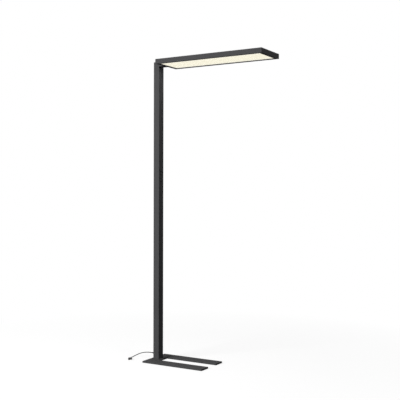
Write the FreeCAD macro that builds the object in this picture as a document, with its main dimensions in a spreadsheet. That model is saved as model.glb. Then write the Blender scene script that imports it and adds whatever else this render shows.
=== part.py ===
import FreeCAD, Part
import math
import os
import types

import Sketcher

# Office floor lamp: a U-shaped steel base that goes round a desk leg, a rectangular extruded post with four
# push buttons, a short neck, and a long flat lamp head held at one end.
# Frame: the origin is on the floor, on the post's axis. +X runs along the head, +Z is up, and the head's
# long sides face -Y (near) and +Y (far). Lengths are in millimetres.

SIZES = {
    # whole lamp
    "lamp_height": 1950.0,  # floor to the top of the post and the head
    # base plate
    "plate_length": 445.0,
    "plate_width": 262.0,
    "plate_thickness": 10.0,
    "plate_corner": 3.0,  # radius of the outer corners
    "plate_edge": 0.8,  # broken edge round the upper face
    "tine_width": 81.5,
    "plate_behind_post": 14.0,
    "bar_before_post": 17.0,  # from the post's front to the slot's closed end
    "slot_corner": 2.0,
    # glide pads under the plate
    "pad_length": 26.0,
    "pad_width": 14.0,
    "pad_recess": 1.4,
    "pad_proud": 0.6,
    "pad_inset": 16.0,
    # screws that hold the post on the plate
    "foot_screw_radius": 2.05,
    "foot_screw_length": 34.0,
    "foot_head_radius": 4.0,
    "foot_head_height": 3.2,
    # post extrusion
    "post_depth": 43.0,
    "post_width": 52.0,
    "post_wall": 2.0,
    "post_corner": 1.5,
    "port_block": 6.5,  # side of the solid corner that holds a screw port
    "port_radius": 2.1,
    "rib_thickness": 1.5,  # guide ribs for the carrier and the driver's bracket
    "rib_reach": 3.0,
    "cap_thickness": 2.0,
    "cap_skirt": 5.0,
    "cap_skirt_wall": 2.0,
    # neck
    "neck_length": 34.0,
    "neck_plate_thickness": 4.0,
    "neck_plate_width": 31.0,
    "neck_plate_height": 24.0,
    "neck_screw_radius": 2.5,
    "neck_screw_grip": 12.0,  # length of screw in the neck
    "neck_screw_across": 22.0,
    "neck_screw_rise": 15.0,
    "neck_head_radius": 4.2,
    "neck_head_height": 3.4,
    "neck_bore_radius": 5.0,
    "neck_bore_height": 20.0,  # above the head's underside
    "mount_plate_thickness": 3.0,  # screw plate inside the head
    "mount_plate_width": 48.0,
    "mount_plate_height": 10.0,
    "mount_screw_across": 34.0,
    # lamp head
    "head_length": 752.0,
    "head_width": 244.0,
    "head_height": 30.0,
    "rail_wall": 2.0,
    "rim_width": 21.0,
    "rim_thickness": 3.0,
    "rim_bevel": 0.6,
    "shelf_height": 11.5,
    "shelf_thickness": 1.5,
    "shelf_reach": 8.0,
    "lip_thickness": 2.0,
    "lip_reach": 9.0,
    "cover_thickness": 2.0,
    "key_leg": 28.0,
    "key_thickness": 4.0,
    "key_height": 9.0,
    "diffuser_thickness": 3.0,
    "guide_thickness": 4.0,
    "strip_thickness": 1.6,
    "strip_gap": 1.4,  # between an LED strip and the light guide
    "reflector_thickness": 0.5,
    "back_plate_thickness": 1.5,
    "window_length": 620.0,  # uplight window in the top cover
    "window_width": 92.0,
    "uplight_flange": 8.0,
    "uplight_flange_thickness": 2.0,
    "uplight_rise": 1.6,
    "uplight_board_length": 560.0,
    "uplight_board_width": 48.0,
    "uplight_board_thickness": 1.6,
    "cover_screw_radius": 1.5,
    "cover_screw_length": 6.0,
    "cover_head_radius": 2.8,
    "cover_head_height": 1.2,
    "cover_screw_inset": 60.0,
    "head_terminal_length": 22.0,
    "head_terminal_width": 30.0,
    "head_terminal_height": 11.0,
    "head_terminal_pitch": 9.0,
    # push buttons
    "buttons_height": 1203.5,  # floor to the middle of the row
    "button_pitch": 22.7,
    "button_length": 29.0,
    "button_height": 8.0,
    "button_proud": 0.8,
    "button_edge": 0.4,
    "button_flange": 2.0,
    "flange_thickness": 1.1,
    "button_travel": 0.8,
    "switch_size": 6.0,
    "switch_height": 2.8,
    "plunger_side": 3.0,
    "board_width": 30.0,
    "board_length": 104.0,
    "board_thickness": 1.6,
    "board_screw_radius": 1.2,
    "board_screw_length": 3.4,
    "board_head_radius": 2.2,
    "board_head_height": 1.4,
    "board_screw_inset": 5.0,
    "carrier_thickness": 2.4,
    "carrier_length": 124.0,
    "carrier_rib": 3.0,
    "carrier_rib_height": 4.0,
    "carrier_rib_across": 22.0,
    "carrier_rib_inset": 15.0,
    # driver, terminal block and cord clamp on the bracket in the post's foot
    "bracket_thickness": 2.4,
    "bracket_length": 320.0,
    "driver_depth": 17.0,
    "driver_width": 30.0,
    "driver_length": 180.0,
    "driver_height": 118.0,  # floor to the driver's lower end
    "driver_tab": 9.0,
    "driver_tab_thickness": 2.0,
    "terminal_depth": 16.0,
    "terminal_width": 26.0,
    "terminal_length": 24.0,
    "terminal_height": 80.0,
    "terminal_port": 3.6,
    "terminal_pitch": 8.0,
    "clamp_depth": 16.0,
    "clamp_width": 22.0,
    "clamp_length": 8.0,
    "clamp_height": 62.0,
    "small_screw_radius": 1.5,
    "small_head_radius": 2.7,
    "small_head_height": 1.8,
    "clamp_screw_across": 14.0,
    # mains lead, strain relief and plug
    "cord_radius": 2.5,
    "cord_height": 40.0,  # floor to the lead's axis where it leaves the post
    "relief_length": 28.0,
    "relief_root_radius": 5.6,
    "relief_tip_radius": 3.5,
    "relief_collar_radius": 8.0,
    "relief_collar_thickness": 2.0,
    "relief_neck_radius": 6.0,
    "relief_groove": 0.7,
    "tail_bend": 13.0,
    "cable_radius": 2.5,
    "cable_bend": 14.0,
    "control_cable_radius": 1.4,
    "control_cable_side": 10.0,
    "control_cable_step": 30.0,  # height over which it steps forward to the board
    "plug_length": 24.0,
    "plug_width": 25.0,
    "plug_thickness": 13.6,
    "plug_neck_width": 11.0,
    "plug_edge": 2.0,
    "sleeve_length": 9.0,
    "sleeve_root_radius": 4.6,
    "sleeve_tip_radius": 3.2,
    "pin_radius": 2.0,
    "pin_length": 19.0,
    "pin_spacing": 18.6,
    # clearances
    "thread_gap": 0.05,
    "slide_gap": 0.1,
    "fit_gap": 0.2,
    "sheet_gap": 0.3,
    "button_gap": 0.25,
}

doc = FreeCAD.newDocument("floor_lamp")
sheet = doc.addObject("Spreadsheet::Sheet", "Sizes")


class Size:
    """A length: its value, and the sheet formula that gives it."""

    def __init__(self, number, formula):
        self.number = number
        self.formula = formula

    def __add__(self, other):
        other = as_size(other)
        return Size(self.number + other.number, f"({self.formula} + {other.formula})")

    def __sub__(self, other):
        other = as_size(other)
        return Size(self.number - other.number, f"({self.formula} - {other.formula})")

    def __mul__(self, factor):
        return Size(self.number * factor, f"({self.formula} * {factor})")

    def __truediv__(self, divisor):
        return Size(self.number / divisor, f"({self.formula} / {divisor})")

    def __neg__(self):
        return Size(-self.number, f"(0 - {self.formula})")


def as_size(value):
    return value if isinstance(value, Size) else Size(float(value), f"{float(value)}")


def fill_sheet(sizes):
    """Writes each size in a row of the sheet, and gives them back by name."""
    for row, (name, value) in enumerate(sizes.items(), start=1):
        sheet.set(f"A{row}", name)
        sheet.set(f"B{row}", str(value))
        sheet.setAlias(f"B{row}", name)
    return types.SimpleNamespace(**{name: Size(value, f"Sizes.{name}") for name, value in sizes.items()})


s = fill_sheet(SIZES)
nothing = as_size(0)
doc.recompute()

NODES = []


# ---------------------------------------------------------------- modelling helpers


def bind(thing, prop, size):
    thing.setExpression(prop, as_size(size).formula)


def place(thing, x=0, y=0, z=0, turn=0):
    """Puts a piece's own origin at a point, turned about Z."""
    thing.Placement = FreeCAD.Placement(
        FreeCAD.Vector(as_size(x).number, as_size(y).number, as_size(z).number),
        FreeCAD.Rotation(FreeCAD.Vector(0, 0, 1), turn),
    )
    for axis, size in zip("xyz", (x, y, z)):
        bind(thing, f".Placement.Base.{axis}", size)


def new_body(name, x=0, y=0, z=0, turn=0, several=False):
    body = doc.addObject("PartDesign::Body", name)
    body.Label = name
    body.AllowCompound = several
    place(body, x, y, z, turn)
    NODES.append(body)
    return body


def sketch_on(body, plane, height=0):
    """An empty sketch on one of the body's origin planes, moved along the plane's normal."""
    sketch = body.newObject("Sketcher::SketchObject", f"{body.Name}_sketch")
    origin_plane = next(f for f in body.Origin.OriginFeatures if f.Role == plane)
    sketch.AttachmentSupport = [(origin_plane, "")]
    sketch.MapMode = "FlatFace"
    bind(sketch, ".AttachmentOffset.Base.z", height)
    return sketch


def hold(sketch, kind, *where, size):
    """Adds a dimension that follows the sheet."""
    index = sketch.addConstraint(Sketcher.Constraint(kind, *where, as_size(size).number))
    bind(sketch, f"Constraints[{index}]", size)


def polygon(sketch, corners):
    """A closed outline, each corner held by its own two ordinates."""
    points = [FreeCAD.Vector(as_size(x).number, as_size(y).number, 0) for x, y in corners]
    first = sketch.GeometryCount
    count = len(points)
    for i, point in enumerate(points):
        sketch.addGeometry(Part.LineSegment(point, points[(i + 1) % count]), False)
    for i, (x, y) in enumerate(corners):
        sketch.addConstraint(Sketcher.Constraint("Coincident", first + (i - 1) % count, 2, first + i, 1))
        hold(sketch, "DistanceX", -1, 1, first + i, 1, size=x)
        hold(sketch, "DistanceY", -1, 1, first + i, 1, size=y)


def rectangle(sketch, x0, y0, x1, y1):
    polygon(sketch, [(x0, y0), (x1, y0), (x1, y1), (x0, y1)])


def circle(sketch, x, y, radius):
    centre = FreeCAD.Vector(as_size(x).number, as_size(y).number, 0)
    index = sketch.addGeometry(Part.Circle(centre, FreeCAD.Vector(0, 0, 1), as_size(radius).number), False)
    hold(sketch, "DistanceX", -1, 1, index, 3, size=x)
    hold(sketch, "DistanceY", -1, 1, index, 3, size=y)
    hold(sketch, "Radius", index, size=radius)


def hexagon(sketch, x, y, radius):
    """A hexagon with two of its corners on the sketch's X through its middle."""
    half = radius / 2
    flat = radius * math.sqrt(0.75)
    upper = [(x + radius, y), (x + half, y + flat), (x - half, y + flat)]
    polygon(sketch, upper + [(x - radius, y), (x - half, y - flat), (x + half, y - flat)])


def rounded_outline(sketch, centres, radius):
    """Arcs about the given centres, in turn anticlockwise, joined by straight tangents along X and Y.

    Two centres make a stadium that lies along X, and four make a rectangle with round corners.
    """
    r = as_size(radius).number
    count = len(centres)
    step = 2 * math.pi / count
    start = math.pi / 2 if count == 2 else math.pi
    middles = [FreeCAD.Vector(as_size(x).number, as_size(y).number, 0) for x, y in centres]
    arcs = []
    for i, middle in enumerate(middles):
        round_part = Part.Circle(middle, FreeCAD.Vector(0, 0, 1), r)
        arc = Part.ArcOfCircle(round_part, start + i * step, start + (i + 1) * step)
        arcs.append(sketch.addGeometry(arc, False))
    for i, (x, y) in enumerate(centres):
        after = (i + 1) % count
        leave = start + (i + 1) * step
        out = FreeCAD.Vector(math.cos(leave), math.sin(leave), 0) * r
        line = sketch.addGeometry(Part.LineSegment(middles[i] + out, middles[after] + out), False)
        sketch.addConstraint(Sketcher.Constraint("Coincident", arcs[i], 2, line, 1))
        sketch.addConstraint(Sketcher.Constraint("Coincident", line, 2, arcs[after], 1))
        hold(sketch, "DistanceX", -1, 1, arcs[i], 3, size=x)
        hold(sketch, "DistanceY", -1, 1, arcs[i], 3, size=y)
        hold(sketch, "Radius", arcs[i], size=radius)
        for end, angle in ((1, start + i * step), (2, leave)):
            above = abs(math.sin(angle)) > abs(math.cos(angle))
            kind = "Vertical" if above else "Horizontal"
            sketch.addConstraint(Sketcher.Constraint(kind, arcs[i], 3, arcs[i], end))


def rounded_rectangle(sketch, x0, y0, x1, y1, radius):
    inner = [(x0 + radius, y0 + radius), (x1 - radius, y0 + radius), (x1 - radius, y1 - radius)]
    rounded_outline(sketch, inner + [(x0 + radius, y1 - radius)], radius)


def stadium(sketch, x, y, length, height):
    half = (length - height) / 2
    rounded_outline(sketch, [(x - half, y), (x + half, y)], height / 2)


def pad(body, sketch, length, backward=False):
    feature = body.newObject("PartDesign::Pad", f"{body.Name}_pad")
    feature.Profile = sketch
    bind(feature, "Length", length)
    feature.Reversed = backward
    body.Tip = feature
    doc.recompute()
    return feature


def pocket(body, sketch, depth, forward=False):
    """Cuts against the sketch's normal, or along it where forward is set, and makes sure that it cuts."""
    before = body.Shape.Volume
    feature = body.newObject("PartDesign::Pocket", f"{body.Name}_pocket")
    feature.Profile = sketch
    bind(feature, "Length", depth)
    feature.Reversed = forward
    body.Tip = feature
    doc.recompute()
    if body.Shape.Volume >= before:
        raise RuntimeError(f"a pocket in {body.Label} cuts nothing")
    return feature


def revolve(body, sketch, axis):
    feature = body.newObject("PartDesign::Revolution", f"{body.Name}_turn")
    feature.Profile = sketch
    feature.ReferenceAxis = (sketch, [axis])
    feature.Angle = 360
    body.Tip = feature
    doc.recompute()
    return feature


def dress(body, kind, size, chosen):
    """A fillet or chamfer on the edges for which chosen is true."""
    base = body.Tip
    edges = [f"Edge{i}" for i, edge in enumerate(base.Shape.Edges, start=1) if chosen(edge)]
    feature = body.newObject(f"PartDesign::{kind}", f"{body.Name}_{kind.lower()}")
    feature.Base = (base, edges)
    bind(feature, "Radius" if kind == "Fillet" else "Size", size)
    body.Tip = feature
    doc.recompute()
    return feature


def lies_at(axis, level):
    """Picks the edges that lie wholly in one plane, in the body's own frame."""

    def chosen(edge):
        box = edge.BoundBox
        low = getattr(box, f"{axis}Min")
        high = getattr(box, f"{axis}Max")
        return abs(low - level.number) < 1e-4 and abs(high - level.number) < 1e-4

    return chosen


def screws(name, spots, plane, seat, head_form, head_size, head_height, shank_radius, shank_length, away=1):
    """Like screws as one node, square to a plane, with their heads' seats at one level along its normal.

    The shanks point along the normal where away is 1, and against it where it is -1.
    """
    body = new_body(name, several=True)
    heads = sketch_on(body, plane, seat)
    for across, along in spots:
        head_form(heads, across, along, head_size)
    pad(body, heads, head_height, backward=away > 0)
    shanks = sketch_on(body, plane, seat)
    for across, along in spots:
        circle(shanks, across, along, shank_radius)
    pad(body, shanks, shank_length, backward=away < 0)
    return body


def tube_route(points):
    """Straight runs joined by arcs that touch them, as large as the runs allow."""
    edges = []
    start = points[0]
    radii = []
    for before, corner, after in zip(points, points[1:], points[2:]):
        into = corner - before
        out = after - corner
        turn = into.getAngle(out)
        reach = 0.45 * min(into.Length, out.Length)
        radii.append(reach / math.tan(turn / 2))
        touch_in = corner - into.normalize() * reach
        touch_out = corner + out.normalize() * reach
        inward = (out - into).normalize()
        centre_way = radii[-1] / math.cos(turn / 2)
        middle = corner + inward * (centre_way - radii[-1])
        edges.append(Part.LineSegment(start, touch_in).toShape())
        edges.append(Part.Arc(touch_in, middle, touch_out).toShape())
        start = touch_out
    edges.append(Part.LineSegment(start, points[-1]).toShape())
    return Part.Wire(edges), radii


def bent_route(start, corner, end, radius):
    """Two straight runs with one arc of a given radius at the corner."""
    into = (corner - start).normalize()
    out = (end - corner).normalize()
    turn = into.getAngle(out)
    reach = radius * math.tan(turn / 2)
    touch_in = corner - into * reach
    touch_out = corner + out * reach
    middle = corner + (out - into).normalize() * (radius / math.cos(turn / 2) - radius)
    runs = [Part.LineSegment(start, touch_in), Part.Arc(touch_in, middle, touch_out)]
    runs.append(Part.LineSegment(touch_out, end))
    return Part.Wire([run.toShape() for run in runs])


def tube(name, path, radius):
    """A round cord along a path, checked against its section times its length."""
    first = path.OrderedEdges[0]
    heading = first.tangentAt(first.FirstParameter)
    ring = Part.Circle(first.valueAt(first.FirstParameter), heading, radius.number)
    solid = path.makePipeShell([Part.Wire(ring.toShape())], True, False)
    feature = doc.addObject("Part::Feature", name)
    feature.Label = name
    feature.Shape = solid
    feature.Placement = FreeCAD.Placement()
    expected = math.pi * radius.number**2 * path.Length
    share = solid.Volume / expected
    print(f"{name}: length {path.Length:.1f} mm, volume {share:.4f} of section times length")
    NODES.append(feature)
    return feature


def point(x, y, z):
    return FreeCAD.Vector(as_size(x).number, as_size(y).number, as_size(z).number)


# ---------------------------------------------------------------- places that several pieces share

base_top = s.pad_proud + s.plate_thickness
post_front = s.post_depth / 2
post_back = -s.post_depth / 2
post_side = s.post_width / 2
cavity_front = post_front - s.post_wall
cavity_side = post_side - s.post_wall
port_face = cavity_front - s.port_block
port_side = cavity_side - s.port_block
port_x = cavity_front - s.port_block / 2
port_y = cavity_side - s.port_block / 2
plate_back = post_back - s.plate_behind_post
plate_front = plate_back + s.plate_length
plate_side = s.plate_width / 2
slot_end = post_front + s.bar_before_post
slot_side = plate_side - s.tine_width
head_bottom = s.lamp_height - s.head_height
head_start = post_front + s.neck_length
head_end = head_start + s.head_length
head_side = s.head_width / 2
bore_height = head_bottom + s.neck_bore_height
port_spots = [(port_x, port_y), (port_x, -port_y), (-port_x, port_y), (-port_x, -port_y)]

# ---------------------------------------------------------------- base

# The base is one thick steel plate. Its slot opens at the front and takes a desk leg.
base_plate = new_body("base_plate", z=s.pad_proud)
outline = sketch_on(base_plate, "XY_Plane")
rounded_rectangle(outline, plate_back, -plate_side, plate_front, plate_side, s.plate_corner)
pad(base_plate, outline, s.plate_thickness)
slot = sketch_on(base_plate, "XY_Plane")
rounded_rectangle(slot, slot_end, -slot_side, plate_front + s.tine_width, slot_side, s.slot_corner)
pocket(base_plate, slot, s.plate_thickness, forward=True)
dress(base_plate, "Chamfer", s.plate_edge, lies_at("Z", s.plate_thickness))
screw_holes = sketch_on(base_plate, "XY_Plane")
head_recesses = sketch_on(base_plate, "XY_Plane")
for hole_x, hole_y in port_spots:
    circle(screw_holes, hole_x, hole_y, s.foot_screw_radius + s.fit_gap)
    circle(head_recesses, hole_x, hole_y, s.foot_head_radius + s.fit_gap)
pocket(base_plate, screw_holes, s.plate_thickness, forward=True)
pocket(base_plate, head_recesses, s.foot_head_height + s.fit_gap, forward=True)

# Rubber glide pads sit in shallow recesses: one under the post, two behind it and two under each tine.
tine_middle = plate_side - s.tine_width / 2
pad_spots = [(nothing, nothing)]
for pad_x, pad_y in (
    (plate_back + s.pad_inset, plate_side - s.pad_inset),
    ((slot_end + plate_front) / 2, tine_middle),
    (plate_front - s.pad_inset, tine_middle),
):
    pad_spots += [(pad_x, pad_y), (pad_x, -pad_y)]
glide_pads = new_body("base_pads", several=True)
for carrier_body, gap in ((base_plate, s.fit_gap), (glide_pads, nothing)):
    pad_outlines = sketch_on(carrier_body, "XY_Plane")
    reach_x = s.pad_length / 2 + gap
    reach_y = s.pad_width / 2 + gap
    for pad_x, pad_y in pad_spots:
        rectangle(pad_outlines, pad_x - reach_x, pad_y - reach_y, pad_x + reach_x, pad_y + reach_y)
    if carrier_body is base_plate:
        pocket(base_plate, pad_outlines, s.pad_recess, forward=True)
    else:
        pad(glide_pads, pad_outlines, s.pad_proud + s.pad_recess)

# Four screws pass through the plate from below into the post's screw ports.
foot_seat = s.pad_proud + s.foot_head_height + s.fit_gap
screws(
    "base_screws",
    port_spots,
    "XY_Plane",
    seat=foot_seat,
    head_form=circle,
    head_size=s.foot_head_radius,
    head_height=s.foot_head_height,
    shank_radius=s.foot_screw_radius,
    shank_length=s.foot_screw_length,
)

# ---------------------------------------------------------------- post

# The post is one aluminium extrusion: thin walls, a screw port in each corner, and four guide ribs. With
# the ports' faces the ribs make two pairs of channels, for the control carrier and the driver's bracket.
post_length = s.lamp_height - s.cap_thickness - base_top
post = new_body("post_profile", z=base_top)
section = sketch_on(post, "XY_Plane")
rounded_rectangle(section, post_back, -post_side, post_front, post_side, s.post_corner)
cavity = [(port_face, cavity_side), (port_face, port_side), (cavity_front, port_side)]
cavity += [(x, -y) for x, y in reversed(cavity)]
cavity += [(-x, y) for x, y in reversed(cavity)]
polygon(section, cavity)
for hole_x, hole_y in port_spots:
    circle(section, hole_x, hole_y, s.port_radius)
pad(post, section, post_length)

carrier_channel = s.carrier_thickness + s.slide_gap * 2
bracket_channel = s.bracket_thickness + s.slide_gap * 2
ribs = sketch_on(post, "XY_Plane")
front_rib = port_face - carrier_channel
back_rib = -port_face + bracket_channel
root = cavity_side + s.post_wall / 2
tip = cavity_side - s.rib_reach
rectangle(ribs, front_rib - s.rib_thickness, tip, front_rib, root)
rectangle(ribs, front_rib - s.rib_thickness, -root, front_rib, -tip)
rectangle(ribs, back_rib, tip, back_rib + s.rib_thickness, root)
rectangle(ribs, back_rib, -root, back_rib + s.rib_thickness, -tip)
pad(post, ribs, post_length)

# Button slots through the front wall, one above the other.
button_levels = [s.buttons_height + s.button_pitch * step for step in (1.5, 0.5, -0.5, -1.5)]
slot_length = s.button_length + s.button_gap * 2
slot_height = s.button_height + s.button_gap * 2
slots = sketch_on(post, "YZ_Plane", post_front)
for level in button_levels:
    stadium(slots, nothing, level - base_top, slot_length, slot_height)
pocket(post, slots, s.post_wall)

# A hole in the back wall for the strain relief, and the neck's screw and cable holes high in the front wall.
cord_hole = sketch_on(post, "YZ_Plane", post_back)
circle(cord_hole, nothing, s.cord_height - base_top, s.relief_neck_radius + s.fit_gap)
pocket(post, cord_hole, s.post_wall, forward=True)
neck_middle = head_bottom + s.head_height / 2
neck_spots = []
for side in (1, -1):
    for rise in (1, -1):
        neck_spots.append((s.neck_screw_across / 2 * side, neck_middle + s.neck_screw_rise / 2 * rise))
neck_holes = sketch_on(post, "YZ_Plane", post_front)
for across, level in neck_spots:
    circle(neck_holes, across, level - base_top, s.neck_screw_radius + s.fit_gap)
circle(neck_holes, nothing, bore_height - base_top, s.neck_bore_radius)
pocket(post, neck_holes, s.post_wall)

# The cap closes the top flush with the walls. Its skirt grips between the screw ports, behind the neck's
# screws.
cap = new_body("post_cap", z=s.lamp_height - s.cap_thickness)
lid = sketch_on(cap, "XY_Plane")
rounded_rectangle(lid, post_back, -post_side, post_front, post_side, s.post_corner)
pad(cap, lid, s.cap_thickness)
skirt = sketch_on(cap, "XY_Plane")
skirt_front = cavity_front - s.neck_plate_thickness - s.neck_head_height - s.fit_gap * 4
skirt_back = -cavity_front + s.fit_gap
skirt_side = port_side - s.fit_gap
rectangle(skirt, skirt_back, -skirt_side, skirt_front, skirt_side)
rectangle(
    skirt,
    skirt_back + s.cap_skirt_wall,
    -skirt_side + s.cap_skirt_wall,
    skirt_front - s.cap_skirt_wall,
    skirt_side - s.cap_skirt_wall,
)
pad(cap, skirt, s.cap_skirt, backward=True)

# ---------------------------------------------------------------- controls in the post

# Each button is a slim moulding with a flange behind the wall. It pushes the plunger of a switch.
flange_front = post_front - s.post_wall - s.slide_gap
flange_back = flange_front - s.flange_thickness
carrier_front = port_face - s.slide_gap
board_front = carrier_front + s.board_thickness
plunger_length = flange_back - board_front - s.button_travel - s.fit_gap
button_names = ["top_button", "upper_button", "lower_button", "bottom_button"]
for name, level in zip(button_names, button_levels):
    button = new_body(name, x=post_front, z=level)
    flange = sketch_on(button, "YZ_Plane", flange_back - post_front)
    stadium(
        flange,
        nothing,
        nothing,
        s.button_length + s.button_flange * 2,
        s.button_height + s.button_flange * 2,
    )
    pad(button, flange, s.flange_thickness)
    face = sketch_on(button, "YZ_Plane", flange_front - post_front)
    stadium(face, nothing, nothing, s.button_length, s.button_height)
    pad(button, face, s.post_wall + s.slide_gap + s.button_proud)
    dress(button, "Chamfer", s.button_edge, lies_at("X", s.button_proud))
    plunger = new_body(name.replace("button", "switch_plunger"), x=flange_back, z=level)
    plunger_end = sketch_on(plunger, "YZ_Plane")
    half = s.plunger_side / 2
    rectangle(plunger_end, -half, -half, half, half)
    pad(plunger, plunger_end, plunger_length, backward=True)

switches = new_body("switch_housings", x=board_front, several=True)
cases = sketch_on(switches, "YZ_Plane")
for level in button_levels:
    for half in (s.switch_size / 2, s.plunger_side / 2 + s.fit_gap):
        rectangle(cases, -half, level - half, half, level + half)
pad(switches, cases, s.switch_height)

board_spots = []
for way in (1, -1):
    across = (s.board_width / 2 - s.board_screw_inset) * way
    along = s.buttons_height + (s.board_length / 2 - s.board_screw_inset) * way
    board_spots.append((across, along))
board = new_body("control_board", x=carrier_front)
board_outline = sketch_on(board, "YZ_Plane")
board_low = s.buttons_height - s.board_length / 2
rectangle(board_outline, -s.board_width / 2, board_low, s.board_width / 2, board_low + s.board_length)
for across, along in board_spots:
    circle(board_outline, across, along, s.board_screw_radius + s.fit_gap)
pad(board, board_outline, s.board_thickness)

carrier = new_body("control_carrier", x=carrier_front)
tray = sketch_on(carrier, "YZ_Plane")
tray_side = cavity_side - s.slide_gap
tray_low = s.buttons_height - s.carrier_length / 2
rectangle(tray, -tray_side, tray_low, tray_side, tray_low + s.carrier_length)
for across, along in board_spots:
    circle(tray, across, along, s.board_screw_radius + s.thread_gap)
pad(carrier, tray, s.carrier_thickness, backward=True)
stiffeners = sketch_on(carrier, "YZ_Plane", -s.carrier_thickness)
for side in (1, -1):
    middle = s.carrier_rib_across / 2 * side
    half = s.carrier_rib / 2
    rib_low = tray_low + s.carrier_rib_inset
    rib_high = tray_low + s.carrier_length - s.carrier_rib_inset
    rectangle(stiffeners, middle - half, rib_low, middle + half, rib_high)
pad(carrier, stiffeners, s.carrier_rib_height, backward=True)

screws(
    "board_screws",
    board_spots,
    "YZ_Plane",
    seat=board_front,
    head_form=hexagon,
    head_size=s.board_head_radius,
    head_height=s.board_head_height,
    shank_radius=s.board_screw_radius,
    shank_length=s.board_screw_length,
    away=-1,
)

# ---------------------------------------------------------------- supply in the post's foot

# The bracket stands on the base plate in the rear channels and carries the clamp, terminals and driver.
bracket_face = -port_face + s.slide_gap + s.bracket_thickness
bracket = new_body("driver_bracket", x=bracket_face, z=base_top)
strip = sketch_on(bracket, "YZ_Plane")
rectangle(strip, -tray_side, nothing, tray_side, s.bracket_length)
circle(strip, nothing, s.cord_height - base_top, s.cord_radius * 2)
driver_low = s.driver_height
driver_high = s.driver_height + s.driver_length
driver_spots = [(nothing, driver_low - s.driver_tab / 2), (nothing, driver_high + s.driver_tab / 2)]
clamp_middle = s.clamp_height + s.clamp_length / 2
clamp_spots = [(s.clamp_screw_across / 2, clamp_middle), (-s.clamp_screw_across / 2, clamp_middle)]
for across, level in driver_spots + clamp_spots:
    circle(strip, across, level - base_top, s.small_screw_radius + s.thread_gap)
pad(bracket, strip, s.bracket_thickness, backward=True)

driver = new_body("led_driver", x=bracket_face)
case = sketch_on(driver, "YZ_Plane")
rectangle(case, -s.driver_width / 2, driver_low, s.driver_width / 2, driver_high)
pad(driver, case, s.driver_depth)
tabs = sketch_on(driver, "YZ_Plane")
tab_side = s.driver_width / 2 - s.driver_tab_thickness
rectangle(tabs, -tab_side, driver_low - s.driver_tab, tab_side, driver_high + s.driver_tab)
pad(driver, tabs, s.driver_tab_thickness)
tab_holes = sketch_on(driver, "YZ_Plane")
for across, level in driver_spots:
    circle(tab_holes, across, level, s.small_screw_radius + s.fit_gap)
pocket(driver, tab_holes, s.driver_tab_thickness, forward=True)
screws(
    "driver_screws",
    driver_spots,
    "YZ_Plane",
    seat=bracket_face + s.driver_tab_thickness,
    head_form=hexagon,
    head_size=s.small_head_radius,
    head_height=s.small_head_height,
    shank_radius=s.small_screw_radius,
    shank_length=s.driver_tab_thickness + s.bracket_thickness,
    away=-1,
)

terminal = new_body("terminal_block", x=bracket_face)
terminal_case = sketch_on(terminal, "YZ_Plane")
terminal_top = s.terminal_height + s.terminal_length
rectangle(terminal_case, -s.terminal_width / 2, s.terminal_height, s.terminal_width / 2, terminal_top)
pad(terminal, terminal_case, s.terminal_depth)
ports = sketch_on(terminal, "YZ_Plane", s.terminal_depth)
port_half = s.terminal_port / 2
port_level = (s.terminal_height + terminal_top) / 2
for step in (-1, 0, 1):
    middle = s.terminal_pitch * step
    rectangle(ports, middle - port_half, port_level - port_half, middle + port_half, port_level + port_half)
pocket(terminal, ports, s.terminal_depth / 2)

# The clamp is a block over the lead, with one screw on each side of it.
tail_x = bracket_face + s.clamp_depth / 2
clamp = new_body("cord_clamp", z=s.clamp_height)
clamp_outline = sketch_on(clamp, "XY_Plane")
clamp_front = bracket_face + s.clamp_depth
rectangle(clamp_outline, bracket_face, -s.clamp_width / 2, clamp_front, s.clamp_width / 2)
circle(clamp_outline, tail_x, nothing, s.cord_radius + s.thread_gap)
pad(clamp, clamp_outline, s.clamp_length)
clamp_holes = sketch_on(clamp, "YZ_Plane", bracket_face)
for across, level in clamp_spots:
    circle(clamp_holes, across, level - s.clamp_height, s.small_screw_radius + s.fit_gap)
pocket(clamp, clamp_holes, s.clamp_depth, forward=True)
screws(
    "clamp_screws",
    clamp_spots,
    "YZ_Plane",
    seat=clamp_front,
    head_form=hexagon,
    head_size=s.small_head_radius,
    head_height=s.small_head_height,
    shank_radius=s.small_screw_radius,
    shank_length=s.clamp_depth + s.bracket_thickness,
    away=-1,
)

# ---------------------------------------------------------------- neck

neck = new_body("neck_block", x=post_front, z=head_bottom)
neck_section = sketch_on(neck, "YZ_Plane")
rounded_rectangle(neck_section, -post_side, nothing, post_side, s.head_height, s.post_corner)
circle(neck_section, nothing, s.neck_bore_height, s.neck_bore_radius)
pad(neck, neck_section, s.neck_length)
grip_holes = sketch_on(neck, "YZ_Plane")
for across, level in neck_spots:
    circle(grip_holes, across, level - head_bottom, s.neck_screw_radius + s.thread_gap)
pocket(neck, grip_holes, s.neck_screw_grip + s.fit_gap, forward=True)
mount_spots = [(s.mount_screw_across / 2, bore_height), (-s.mount_screw_across / 2, bore_height)]
head_holes = sketch_on(neck, "YZ_Plane", s.neck_length)
for across, level in mount_spots:
    circle(head_holes, across, level - head_bottom, s.neck_screw_radius + s.thread_gap)
pocket(neck, head_holes, s.neck_screw_grip + s.fit_gap)


def screw_plate(name, x, thickness, width, height, middle, spots):
    """A steel plate behind a thin wall, with screw holes and the cable's bore."""
    body = new_body(name, x=x)
    outline = sketch_on(body, "YZ_Plane")
    rectangle(outline, -width / 2, middle - height / 2, width / 2, middle + height / 2)
    for across, level in spots:
        circle(outline, across, level, s.neck_screw_radius + s.fit_gap)
    pad(body, outline, thickness)
    bore = sketch_on(body, "YZ_Plane")
    circle(bore, nothing, bore_height, s.neck_bore_radius - s.fit_gap)
    pocket(body, bore, thickness, forward=True)
    return body


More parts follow.
